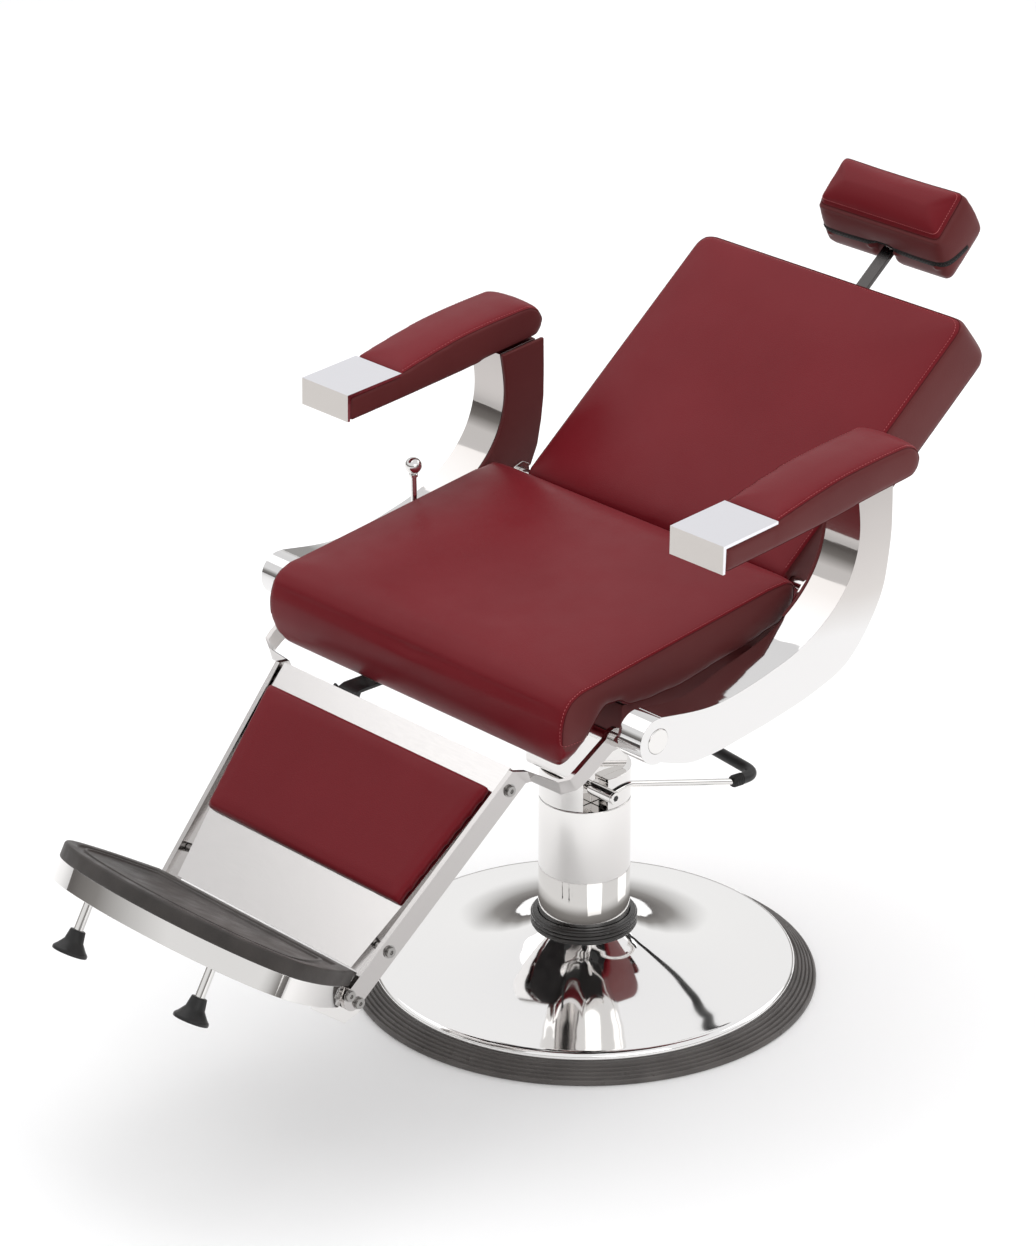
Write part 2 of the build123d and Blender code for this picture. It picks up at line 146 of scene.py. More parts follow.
def vary(tree, bsdf, socket, low, high, scale, stretch=(1, 1, 1)):
    """Noise-driven range on a value socket."""
    n = noise(tree, scale, 5, stretch)
    r = add(tree, "ShaderNodeMapRange")
    r.inputs["From Min"].default_value, r.inputs["From Max"].default_value = 0.3, 0.7
    r.inputs["To Min"].default_value, r.inputs["To Max"].default_value = low, high
    tree.links.new(n.outputs["Fac"], r.inputs["Value"])
    tree.links.new(r.outputs["Result"], bsdf.inputs[socket])


def bump(tree, bsdf, height, strength, distance):
    """Drive the shading normal from a height."""
    b = add(tree, "ShaderNodeBump", Strength=strength, Distance=distance)
    tree.links.new(height, b.inputs["Height"])
    tree.links.new(b.outputs["Normal"], bsdf.inputs["Normal"])


def vinyl(name, dark, light, rough):
    """Grained vinyl: pebbled surface, slight tone drift, worn sheen."""
    m, t, b = material(name, light, rough, Specular_IOR_Level=0.13, Sheen_Weight=0.035)
    tone = noise(t, 5.0, 6)
    colour = ramp(t, tone.outputs["Fac"], [(0.3, dark), (0.7, light)])
    t.links.new(colour.outputs["Color"], b.inputs["Base Color"])
    vary(t, b, "Roughness", rough - 0.05, rough + 0.06, 26)
    coord = t.nodes.new("ShaderNodeTexCoord")
    grain = add(t, "ShaderNodeTexVoronoi", Scale=720.0)
    grain.feature = "SMOOTH_F1"
    t.links.new(coord.outputs["Object"], grain.inputs["Vector"])
    bump(t, b, grain.outputs["Distance"], 0.16, 0.0006)
    return m


def chrome(name, low, high, colour=(0.86, 0.85, 0.835), wave=0.02):
    """Polished plate with a trace of waviness and handling haze."""
    m, t, b = material(name, colour, low, 1.0)
    vary(t, b, "Roughness", low, high, 14)
    bump(t, b, noise(t, 9.0, 2).outputs["Fac"], wave, 0.01)
    return m


def casting_chrome_painted_shade(name):
    """Hand-polished plate with painted shade: its colour runs darker, warmer and greyer up the arm, standing in
    for the dimmer reflections there.
    """
    m, t, b = material(name, (0.8, 0.78, 0.77), 0.05, 1.0)
    coord = t.nodes.new("ShaderNodeTexCoord")
    split = t.nodes.new("ShaderNodeSeparateXYZ")
    t.links.new(coord.outputs["Object"], split.inputs["Vector"])
    painted_shade_height = add(t, "ShaderNodeMath")
    painted_shade_height.operation = "MULTIPLY_ADD"
    painted_shade_height.inputs[1].default_value = 0.10
    t.links.new(noise(t, 3.0, 3).outputs["Fac"], painted_shade_height.inputs[0])
    t.links.new(split.outputs["Z"], painted_shade_height.inputs[2])
    # Painted shade: light low on the arm, then a darker warm grey higher up, in place of dimmer reflections.
    stops = [(0.50, (0.76, 0.75, 0.745)), (0.60, (0.75, 0.74, 0.735)),
             (0.655, (0.60, 0.57, 0.55)), (0.78, (0.46, 0.43, 0.415))]
    tone = ramp(t, painted_shade_height.outputs["Value"], stops)
    t.links.new(tone.outputs["Color"], b.inputs["Base Color"])
    vary(t, b, "Roughness", 0.035, 0.08, 14)
    bump(t, b, noise(t, 7.0, 2).outputs["Fac"], 0.03, 0.01)
    return m


def brushed(name, colour, stretch, low=0.16, high=0.30):
    """Satin metal with fine lines along the short axis of stretch."""
    m, t, b = material(name, colour, low, 1.0)
    vary(t, b, "Roughness", low, high, 60, stretch)
    bump(t, b, noise(t, 120, 3, stretch).outputs["Fac"], 0.05, 0.001)
    return m


def rubber(name, dark, light, rough, scale, depth, specular=0.35):
    """Matt rubber or cloth with a fine-grained surface."""
    m, t, b = material(name, light, rough, Specular_IOR_Level=specular)
    tone = noise(t, 18, 6)
    colour = ramp(t, tone.outputs["Fac"], [(0.3, dark), (0.72, light)])
    t.links.new(colour.outputs["Color"], b.inputs["Base Color"])
    vary(t, b, "Roughness", rough - 0.08, rough + 0.08, 40)
    bump(t, b, noise(t, scale, 5).outputs["Fac"], 0.35, depth)
    return m


VINYL = vinyl("vinyl", (0.136, 0.0050, 0.0095), (0.156, 0.0075, 0.013), 0.34)
# Darker, browner copy of the vinyl for boxings, sides and side panels: painted shade.
VINYL_PAINTED_SHADE = vinyl("vinyl_painted_shade", (0.108, 0.022, 0.023), (0.130, 0.028, 0.028), 0.42)
THREAD = rubber("thread", (0.38, 0.080, 0.085), (0.50, 0.130, 0.135), 0.6, 900, 0.0004, 0.1)
WELT = rubber("welt", (0.070, 0.008, 0.010), (0.095, 0.012, 0.014), 0.6, 900, 0.0004, 0.08)
CHROME = chrome("chrome", 0.03, 0.06, (0.78, 0.765, 0.75))
DOME = chrome("dome_chrome", 0.03, 0.06, (0.93, 0.92, 0.91), 0.012)
# Casting chrome with painted shade, darker and warmer up the arm.
CASTING_PAINTED_SHADE = casting_chrome_painted_shade("cast_chrome_painted_shade")
# Darker chrome for the castings' bevels: painted dark reflection lines along their edges.
EDGE_PAINTED_SHADE = chrome("edge_chrome_painted_shade", 0.05, 0.09, (0.46, 0.44, 0.43))
STEEL = brushed("satin_steel", (0.66, 0.64, 0.63), (1, 12, 12), 0.12, 0.20)
RAIL = brushed("rail_steel", (0.52, 0.50, 0.49), (1, 12, 12), 0.07, 0.13)
BAR = brushed("dark_bar", (0.085, 0.080, 0.078), (10, 10, 1), 0.18, 0.30)
CAP_METAL = brushed("cap_metal", (0.82, 0.815, 0.85), (10, 1, 1), 0.08, 0.12)
# Darker, warmer copy of the cap metal for the cap's forward faces: painted shade.
CAP_FRONT_PAINTED_SHADE = brushed("cap_front", (0.56, 0.53, 0.505), (10, 1, 1), 0.10, 0.16)
SCREW = chrome("screw_metal", 0.12, 0.24, (0.34, 0.33, 0.32))
BLACK_STEEL = rubber("black_steel", (0.012, 0.012, 0.012), (0.022, 0.022, 0.022), 0.35, 300, 0.0003)
RING = rubber("ring_rubber", (0.082, 0.074, 0.070), (0.120, 0.110, 0.104), 0.34, 260, 0.0005)
COLLAR = rubber("collar_rubber", (0.022, 0.020, 0.019), (0.040, 0.036, 0.034), 0.22, 200, 0.0004, 0.6)
UNDER = rubber("underlining", (0.010, 0.009, 0.009), (0.020, 0.018, 0.018), 0.8, 900, 0.0006, 0.1)
MAT = rubber("mat_rubber", (0.026, 0.022, 0.020), (0.052, 0.044, 0.040), 0.50, 520, 0.0018, 0.4)
BLACK = rubber("black_rubber", (0.010, 0.010, 0.010), (0.022, 0.021, 0.021), 0.38, 300, 0.0005)
TAPE = rubber("zip_tape", (0.010, 0.009, 0.009), (0.025, 0.022, 0.022), 0.8, 1400, 0.0006)


# ---- mesh helpers ----
def place(obj, body, mat, slot, replaces=()):
    """Give an object its cover and body, and hide the CAD nodes it stands for; slot is not used."""
    obj.data.materials.clear()
    obj.data.materials.append(mat)
    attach(obj, body)
    if replaces:
        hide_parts(*replaces)
    return obj


def link(name, mesh):
    o = bpy.data.objects.new(name, mesh)
    bpy.context.scene.collection.objects.link(o)
    return o


def smooth_by_angle(obj, degrees=32):
    """Smooth shading with the sharper edges kept."""
    mesh = obj.data
    bm = bmesh.new()
    bm.from_mesh(mesh)
    limit = math.radians(degrees)
    for f in bm.faces:
        f.smooth = True
    for e in bm.edges:
        e.smooth = not (len(e.link_faces) == 2 and e.calc_face_angle(0) > limit)
    bm.to_mesh(mesh)
    bm.free()


def from_bmesh(name, bm, smooth=True):
    """Object from a bmesh, which is freed."""
    bmesh.ops.recalc_face_normals(bm, faces=bm.faces)
    for f in bm.faces:
        f.smooth = smooth
    mesh = bpy.data.meshes.new(name)
    bm.to_mesh(mesh)
    bm.free()
    return link(name, mesh)


def lathe(name, profile, steps=160):
    """Turned solid about Z from a closed outline of (r, z) points."""
    bm = bmesh.new()
    rings = []
    for i in range(steps):
        a = 2 * math.pi * i / steps
        rings.append([bm.verts.new((r * math.cos(a), r * math.sin(a), z)) for r, z in profile])
    n = len(profile)
    for i in range(steps):
        one, two = rings[i], rings[(i + 1) % steps]
        for j in range(n):
            k = (j + 1) % n
            bm.faces.new((one[j], two[j], two[k], one[k]))
    bmesh.ops.remove_doubles(bm, verts=bm.verts, dist=1e-6)
    o = from_bmesh(name, bm)
    smooth_by_angle(o, 34)
    return o


def clean_copy(node):
    """The node's mesh with doubles welded and flat regions merged."""
    bm = bmesh.new()
    bm.from_mesh(frame["nodes"][node].data)
    bmesh.ops.remove_doubles(bm, verts=bm.verts, dist=2e-6)
    bmesh.ops.dissolve_limit(bm, angle_limit=math.radians(0.6), verts=bm.verts, edges=bm.edges)
    return bm


def solid(node, mat, slot, width=0.8, segments=3):
    """A CAD node shown with edges rounded to a width in millimetres."""
    bm = clean_copy(node)
    o = from_bmesh(node + "_look", bm, False)
    mod = o.modifiers.new("edges", "BEVEL")
    mod.width, mod.segments, mod.limit_method = width * MM, segments, "ANGLE"
    mod.angle_limit, mod.use_clamp_overlap = math.radians(32), True
    bake(o)
    smooth_by_angle(o, 40)
    mod = o.modifiers.new("shade", "WEIGHTED_NORMAL")
    mod.keep_sharp, mod.weight = True, 100
    bake(o)
    return place(o, body_of(node), mat, slot, [node])


def body_of(node):
    bodies = frame["record"]["behaviour"]["bodies"]
    return next(b for b, nodes in bodies.items() if node in nodes)


def bake(obj):
    """Apply every modifier."""
    graph = bpy.context.evaluated_depsgraph_get()
    graph.update()
    mesh = bpy.data.meshes.new_from_object(obj.evaluated_get(graph))
    obj.modifiers.clear()
    obj.data = mesh
    return obj


def tube(name, points, radius, closed=False, resolution=8):
    """Round tube through points."""
    curve = bpy.data.curves.new(name, "CURVE")
    curve.dimensions, curve.bevel_depth = "3D", radius
    curve.bevel_resolution, curve.use_fill_caps = resolution // 2, True
    spline = curve.splines.new("POLY")
    spline.points.add(len(points) - 1)
    for p, co in zip(spline.points, points):
        p.co = (*co, 1)
    spline.use_cyclic_u = closed
    o = link(name, curve)
    graph = bpy.context.evaluated_depsgraph_get()
    mesh = bpy.data.meshes.new_from_object(o.evaluated_get(graph))
    bpy.data.objects.remove(o)
    for p in mesh.polygons:
        p.use_smooth = True
    return link(name, mesh)


def rounded(points, radius, steps=8):
    """Open path of points with its corners replaced by arcs."""
    path = [Vector(points[0])]
    for a, b, c in zip(points, points[1:], points[2:]):
        a, b, c = Vector(a), Vector(b), Vector(c)
        u, v = (a - b).normalized(), (c - b).normalized()
        reach = min(radius, (a - b).length * 0.48, (c - b).length * 0.48)
        for i in range(steps + 1):
            t = i / steps
            path.append((b + u * reach) * (1 - t) ** 2 + b * 2 * t * (1 - t)
                        + (b + v * reach) * t * t)
    path.append(Vector(points[-1]))
    return path


# ---- soft goods ----
SEAM_REACH = 4.5 * MM       # the cover is held this close to a seam
SHRINK = 1.5 * MM           # the most that a cover draws in
CLOTH_FRAMES = 20


def distance_to_path(p, path, closed):
    """Distance from a point to the nearest stretch of a path."""
    best = 1e9
    pairs = list(zip(path, path[1:])) + ([(path[-1], path[0])] if closed else [])
    for a, b in pairs:
        d = b - a
        t = max(0.0, min(1.0, (p - a).dot(d) / max(d.length_squared, 1e-12)))
        best = min(best, (a + d * t - p).length)
    return best


def soft(node, name, plane, seams, pressure, cap, flat, voxel=5.0, full=(3.0, 22.0)):
    """Cushion made from its CAD block: remeshed, held at its seams, inflated, capped and smoothed.
    seams are (path, closed) pairs in world space; flat(point, normal) is true where the cushion
    rests on a board or under a cap and can't bulge, in the plane's space; full is the stuffing's
    rise away from a seam and its reach. Rise, reach, cap and voxel are in millimetres."""
    src = frame["nodes"][node].data
    inverse = plane.inverted()
    mesh = src.copy()
    mesh.transform(inverse)
    o = link(name, mesh)
    mod = o.modifiers.new("remesh", "REMESH")
    mod.mode, mod.voxel_size, mod.use_smooth_shade = "VOXEL", voxel * MM, True
    bake(o)
    mod = o.modifiers.new("soften", "SMOOTH")
    mod.factor, mod.iterations = 0.5, 2
    bake(o)
    local = [([inverse @ p for p in path], closed) for path, closed in seams]
    held = o.vertex_groups.new(name="held")
    rest = [v.co.copy() for v in o.data.vertices]
    normals = [v.normal.copy() for v in o.data.vertices]
    grip, rise = [], []
    for v in o.data.vertices:
        d = min((distance_to_path(v.co, p, c) for p, c in local), default=1.0)
        share = 1.0 if v.normal.z > 0.5 else 0.3
        rise.append(share * full[0] * MM * (1 - math.exp(-d / MM / full[1])))
        fixed = d < SEAM_REACH or flat(v.co, v.normal)
        grip.append(1.0 if fixed else 0.0)
        if fixed:
            held.add([v.index], 1.0, "REPLACE")
    inflate(o, pressure)
    graph = bpy.context.evaluated_depsgraph_get()
    moved = o.evaluated_get(graph).to_mesh()
    final = []
    for i, v in enumerate(moved.vertices):
        d = v.co - rest[i]
        along = d.dot(normals[i])
        d = normals[i] * max(min(along, cap * MM), -SHRINK) + (d - normals[i] * along) * 0.3
        final.append(rest[i] + (d + normals[i] * rise[i]) * (1 - grip[i]))
    o.modifiers.clear()
    o.vertex_groups.clear()
    for v, co in zip(o.data.vertices, final):
        v.co = co
    mod = o.modifiers.new("ease", "SMOOTH")
    mod.factor, mod.iterations = 0.5, 3
    bake(o)
    crease(o, local)
    mod = o.modifiers.new("fine", "SUBSURF")
    mod.levels = mod.render_levels = 1
    bake(o)
    o.data.transform(plane)
    for p in o.data.polygons:
        p.use_smooth = True
    return o


def crease(o, seams, width=4.5, depth=1.1):
    """Draw the surface in along its seams."""
    out = []
    for v in o.data.vertices:
        d = min((distance_to_path(v.co, p, c) for p, c in seams), default=1.0) / MM
        out.append(v.co - v.normal * depth * MM * max(0.0, 1 - d / width) ** 1.5)
    for v, co in zip(o.data.vertices, out):
        v.co = co


def panel(obj, mat, test):
    """Give some panels their own cover; test takes a face's centre and normal."""
    obj.data.materials.append(mat)
    slot = len(obj.data.materials) - 1
    for p in obj.data.polygons:
        if test(p.center, p.normal):
            p.material_index = slot


def inflate(o, pressure):
    """Run the cover as cloth, pinned at its held points, with pressure inside."""
    cloth = o.modifiers.new("cloth", "CLOTH")
    s = cloth.settings
    s.use_pressure, s.uniform_pressure_force = True, pressure
    s.vertex_group_mass = "held"
    s.pin_stiffness = 1.0
    s.tension_stiffness = s.compression_stiffness = 40
    s.shear_stiffness, s.bending_stiffness = 20, 4
    s.quality, s.mass = 5, 0.3
    s.effector_weights.gravity = 0.0
    cloth.collision_settings.use_collision = False
    scene = bpy.context.scene
    for f in range(1, CLOTH_FRAMES + 1):
        scene.frame_set(f)
        bpy.context.view_layer.update()


def on_surface(tree, points, lift):
    """Points moved to the nearest surface, then lifted along its normal."""
    out = []
    for p in points:
        co, normal, _, _ = tree.find_nearest(p)
        out.append(co + normal * lift)
    return out


def tree_of(obj):
    bm = bmesh.new()
    bm.from_mesh(obj.data)
    t = BVHTree.FromBMesh(bm)
    bm.free()
    return t


def dense(path, closed, step=4 * MM):
    """Points every step along a path."""
    pts = list(path) + ([path[0]] if closed else [])
    out = []
    for a, b in zip(pts, pts[1:]):
        n = max(1, int((b - a).length / step))
        out += [a.lerp(b, i / n) for i in range(n)]
    if not closed:
        out.append(pts[-1])
    return out


def ease(points, closed, passes=6):
    """Relax a path so that it runs fair."""
    for _ in range(passes):
        n = len(points)
        new = []
        for i in range(n):
            if not closed and i in (0, n - 1):
                new.append(points[i])
                continue
            new.append((points[i - 1] + points[i] * 2 + points[(i + 1) % n]) / 4)
        points = new
    return points


def seam_cord(name, obj, path, closed, body, slot, radius=0.7):
    """Fine welt on the surface along a seam."""
    t = tree_of(obj)
    pts = ease(on_surface(t, dense(path, closed), 0.05 * MM), closed)
    o = tube(name, on_surface(t, pts, 0.1 * MM), radius * MM, closed, 6)
    return place(o, body, WELT, slot)


def axes(x, y, z, at):
    """Matrix with the given unit axes at a place."""
    m = Matrix((x, y, z)).transposed().to_4x4()
    m.translation = at
    return m


def block(bm, matrix, *size):
    """Add a block of a size in millimetres."""
    scale = Matrix.Diagonal((*[v * MM for v in size], 1))
    bmesh.ops.create_cube(bm, size=1.0, matrix=matrix @ scale)


def stitches(name, obj, path, closed, body, slot, pitch=4.4, size=(3.2, 0.9, 0.5)):
    """Row of short threads lying on the surface along a path, pitch and size in millimetres."""
    t = tree_of(obj)
    pts = ease(on_surface(t, dense(path, closed, pitch * MM), 0), closed, 3)
    bm = bmesh.new()
    n = len(pts)
    for i in range(n - (0 if closed else 1)):
        a, b = pts[i], pts[(i + 1) % n]
        d = b - a
        if d.length < 1e-5:
            continue
        co, normal, _, _ = t.find_nearest((a + b) / 2)
        x = d.normalized()
        at = axes(x, normal.cross(x).normalized(), normal, co + normal * size[2] * 0.4 * MM)
        shape = Matrix.Diagonal((size[0] * MM / 2, size[1] * MM / 2, size[2] * MM / 2, 1))
        bmesh.ops.create_icosphere(bm, subdivisions=1, radius=1.0, matrix=at @ shape)
    return place(from_bmesh(name, bm), body, THREAD, slot)


def ring_path(plane, w, h, r, z, steps=8):
    """Rounded rectangle in a plane, in millimetres."""
    pts = []
    cx, cy = w / 2 - r, h / 2 - r
    for sx, sy, start in ((1, 1, 0), (-1, 1, 90), (-1, -1, 180), (1, -1, 270)):
        for i in range(steps + 1):
            a = math.radians(start + 90 * i / steps)
            pts.append(plane @ Vector(((sx * cx + r * math.cos(a)) * MM,
                                       (sy * cy + r * math.sin(a)) * MM, z * MM)))
    return pts


def outline(node, keep):
    """Longest chain of sharp edges of a CAD node whose ends both pass keep."""
    bm = clean_copy(node)
    limit = math.radians(20)
    ends = {}
    for e in bm.edges:
        sharp = len(e.link_faces) == 2 and e.calc_face_angle(0) > limit
        if sharp and all(keep(v.co) for v in e.verts):
            a, b = e.verts
            ends.setdefault(a.index, []).append(b.index)
            ends.setdefault(b.index, []).append(a.index)
    spots = [v.co.copy() for v in bm.verts]
    bm.free()
    best, closed, seen = [], False, set()
    starts = sorted(ends, key=lambda i: (len(ends[i]) != 1, i))
    for start in starts:
        if start in seen:
            continue
        chain, at = [start], start
        seen.add(start)
        while True:
            step = [i for i in ends[at] if i not in seen]
            if not step:
                break
            at = step[0]
            seen.add(at)
            chain.append(at)
        if len(chain) > len(best):
            best, closed = chain, start in ends[chain[-1]] and len(chain) > 2
    return [spots[i] for i in best], closed


# ---- base and column ----
def smooth_profile(points, steps=6):
    """Catmull-Rom run through (r, z) points."""
    out = []
    for i in range(len(points) - 1):
        p = [points[max(0, min(len(points) - 1, i + k))] for k in (-1, 0, 1, 2)]
        for j in range(steps):
            t = j / steps
            out.append(tuple(0.5 * (2 * p[1][a] + (p[2][a] - p[0][a]) * t
                                    + (2 * p[0][a] - 5 * p[1][a] + 4 * p[2][a] - p[3][a]) * t * t
                                    + (3 * p[1][a] - p[0][a] - 3 * p[2][a] + p[3][a]) * t ** 3)
                             for a in (0, 1)))
    out.append(points[-1])
    return out


def mm(points):
    return [(a * MM, b * MM) for a, b in points]


def base():
    floor_ring()
    dome()
    collar()
    solid("base_plate", BLACK_STEEL, "base_iron", 0.5)
    solid("pump_cylinder", STEEL, "pump_steel", 0.4)


def floor_ring(ribs=5, pitch=4.75, step=3.0):
    """Rubber ring round the floor plate: round-topped ribs that climb inward to the dome."""
    ring = [(277, 0.3), (298.6, 0.3), (299.6, 1.2), (300, 2.6), (300, 4.2)]
    for i in range(ribs):
        r, z = 298.9 - pitch * i, 5.6 + step * i
        for k in range(7):
            a = math.pi * (0.02 + 0.86 * k / 6)
            ring.append((r - 1.75 + 1.75 * math.cos(a), z + 0.75 + 1.45 * math.sin(a)))
        ring += [(r - 3.9, z + 0.9), (r - 4.3, z + 1.4)]
    ring += [(274.4, 20.9), (272.4, 20.4), (271.9, 8)]
    place(lathe("floor_ring", mm(ring), 256), "base", RING, "ring_rubber", ["base_ring"])


def dome():
    """Spun cover: a rolled rim, then a flaring cone up to the column collar."""
    rim = [(RING_R, 8), (RING_R, 23), (270.6, 27), (267.6, 29.4), (263, 30.2)]
    cone = [(263, 30.2), (235, 31.5), (195, 35), (155, 41.5), (120, 51), (95, 60.5), (78, 69),
            (66.2, 76)]
    under = [(66.2, 73.2), (94, 58.2), (154.5, 39.2), (235, 29.1), (262, 27.8), (269.5, 22),
             (269.5, 8)]
    profile = smooth_profile(rim, 5) + smooth_profile(cone, 8)[1:] + under
    plate = lathe("base_dome_plate", mm(profile), 288)
    place(plate, "base", DOME, "chrome", ["base_dome"])


def collar():
    """Rubber collar round the foot of the column, with three rounded ribs."""
    profile = [(59.7, 66), (65.6, 66), (66, 76), (67.6, 76.4)]
    for z in (78.0, 83.4, 88.6):
        turn = [a / 3 - math.pi / 2 for a in range(10)]
        profile += [(67.9 + 0.7 * math.cos(a), z + 1.9 * math.sin(a)) for a in turn]
        profile.append((66.9, z + 2.5))
    profile += [(66.6, 92.2), (65.4, 93.4), (63.6, 94), (59.7, 94)]
    rings = lathe("column_collar_rings", mm(profile), 160)
    place(rings, "base", COLLAR, "chrome", ["column_collar"])


def column():
    sleeve = [(56.5, 94), (58.3, 94), (58.8, 94.3), (59, 95), (59, 255.6), (58.8, 256.4),
              (58.2, 257), (20, 257), (20, 251), (56.5, 251)]
    place(lathe("column_sleeve", mm(sleeve), 192), "lift", CHROME, "chrome", ["column_cover"])
    solid("ram", STEEL, "pump_steel", 0.4)
    solid("swivel_head", CHROME, "chrome", 0.7)
    solid("carrier", CHROME, "chrome", 1.5)
    solid("tilt_pin", STEEL, "pump_steel", 0.6)
    solid("lever_pin", CHROME, "chrome", 0.6)


def lever():
    """Pump lever: turned hub with a hex socket, thin rod, rubber grip across its end."""
    solid("lever_sleeve", CHROME, "chrome", 0.7)
    hex_socket_painted_shade()
    elbow = [(0.077, -0.024, 0.293), (0.081, -0.015, 0.298), (0.084, -0.003, 0.3005),
             (0.084, 0.205, 0.236)]
    rod = tube("lever_bar", rounded(elbow, 0.008), ROD_R * MM, False, 16)
    place(rod, "pump_lever", CHROME, "chrome", ["lever_rod"])
    start, corner, end = (0.084, 0.182, 0.2432), (0.084, 0.226, 0.2400), (-0.0335, 0.229, 0.249)
    route = rounded([start, corner, end], 0.026, 14)
    grip = tube("lever_grip_tube", route, GRIP_R * MM, False, 20)
    place(grip, "pump_lever", BLACK, "black_rubber", ["lever_grip"])
    bm = bmesh.new()
    a = Vector(start)
    axis = (Vector(corner) - a).normalized()
    for i in range(5):
        turn = axis.to_track_quat("Z", "Y").to_matrix().to_4x4()
        turn.translation = a + axis * (2.0 + 3.2 * i) * MM
        torus(bm, GRIP_R * MM, 0.7 * MM, turn)
    place(from_bmesh("lever_grip_ribs", bm), "pump_lever", BLACK, "black_rubber")


def hex_socket_painted_shade(reach=4.2, proud=0.15, depth=0.4):
    """Dark hexagon set in the outer end of the lever's pin: painted shade standing in for the hollow of a hex
    socket.
    """
    low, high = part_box("lever_pin")
    y, z = (low.y + high.y) / 2, (low.z + high.z) / 2
    hexagon = [(high.x + proud * MM, y + reach * MM * math.cos(math.radians(60 * i)),
                z + reach * MM * math.sin(math.radians(60 * i))) for i in range(6)]
    bm = bmesh.new()
    verts = [bm.verts.new(p) for p in hexagon]
    back = [bm.verts.new((x - depth * MM, y, z)) for x, y, z in hexagon]
    bm.faces.new(verts)
    bm.faces.new(back)
    for i in range(6):
        bm.faces.new((verts[i], verts[(i + 1) % 6], back[(i + 1) % 6], back[i]))
    place(from_bmesh("lever_hex_painted_shade", bm, False), "swivel", BLACK_STEEL, "frame_steel")


def torus(bm, big, small, matrix, n=32, k=8):
    """Add a ring of radius big and thickness small about the matrix's z axis."""
    rings = []
    for i in range(n):
        a = 2 * math.pi * i / n
        ring = []
        for j in range(k):
            b = 2 * math.pi * j / k
            r = big + small * math.cos(b)
            spot = Vector((r * math.cos(a), r * math.sin(a), small * math.sin(b)))
            ring.append(bm.verts.new(matrix @ spot))
        rings.append(ring)
    for i in range(n):
        one, two = rings[i], rings[(i + 1) % n]
        for j in range(k):
            m = (j + 1) % k
            bm.faces.new((one[j], two[j], two[m], one[m]))


# ---- seat ----
def seat():
    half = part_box("seat_cushion")[1].x
    clear = 21 * MM         # the relief round the pivot tube has no seam
    seams = [outline("seat_cushion", lambda v: v.x * s > half - 0.4 * MM
                     and (v.yz - KNEE.yz).length > clear) for s in SIDES.values()]
    plane = tilted(SEAT_MID, SEAT_SLOPE)
    cushion = soft("seat_cushion", "seat_cushion_soft", plane, seams, 4.0, 6.0,
                   lambda c, n: n.z < -0.5)
    place(cushion, "seat", VINYL, "upholstery", ["seat_cushion"])
    # The seat's sides get the darker vinyl: painted shade.
    panel(cushion, VINYL_PAINTED_SHADE, lambda c, n: abs(c.x) > half - 2.6 * MM)
    nose, nose_low, rear_low = -0.20, 0.50, 0.56
    panel(cushion, UNDER, lambda c, n: n.z < -0.75 and c.y > nose)
    for (side, s), (path, closed) in zip(SIDES.items(), seams):
        seam_cord(f"seat_welt_{side}", cushion, path, closed, "seat", "upholstery")
        inward = Vector((s * 5 * MM, 0, 0))
        top = [p - inward for p in dense(path, True)
               if p.z > nose_low and (p.y < nose or p.z > rear_low)]
        stitches(f"seat_stitch_{side}", cushion, unroll(top), False, "seat", "upholstery")
    # The seat board is covered in the darker vinyl: painted shade.
    board = solid("seat_base", VINYL_PAINTED_SHADE, "seat_board", 3.0, 3)
    panel(board, UNDER, lambda c, n: n.z < -0.6)
    solid("seat_frame", BLACK_STEEL, "frame_steel", 0.8)
    solid("pivot_tube", CHROME, "chrome", 0.4)
    solid("arm_beam", BLACK_STEEL, "frame_steel", 0.5)


def arms():
    for side in SIDES:
        casting = solid(f"arm_casting_{side}", CASTING_PAINTED_SHADE, "chrome", 3.2, 4)
        # The casting's bevel faces get the darker chrome: painted dark reflection lines.
        panel(casting, EDGE_PAINTED_SHADE, lambda c, n: 0.3 < abs(n.x) < 0.93)
        solid(f"hub_cap_{side}", CHROME, "chrome", 1.4, 3)
        # The arm panels are covered in the darker vinyl: painted shade.
        solid(f"arm_panel_{side}", VINYL_PAINTED_SHADE, "upholstery", 2.2, 3)
        cap = solid(f"arm_cap_{side}", CAP_METAL, "chrome", 1.3, 4)
        # The cap's forward-facing faces get the darker copy of its metal: painted shade.
        panel(cap, CAP_FRONT_PAINTED_SHADE, lambda c, n: n.y < -0.75)
        solid(f"hinge_bracket_{side}", CHROME, "chrome", 1.0)
        arm_pad(side)


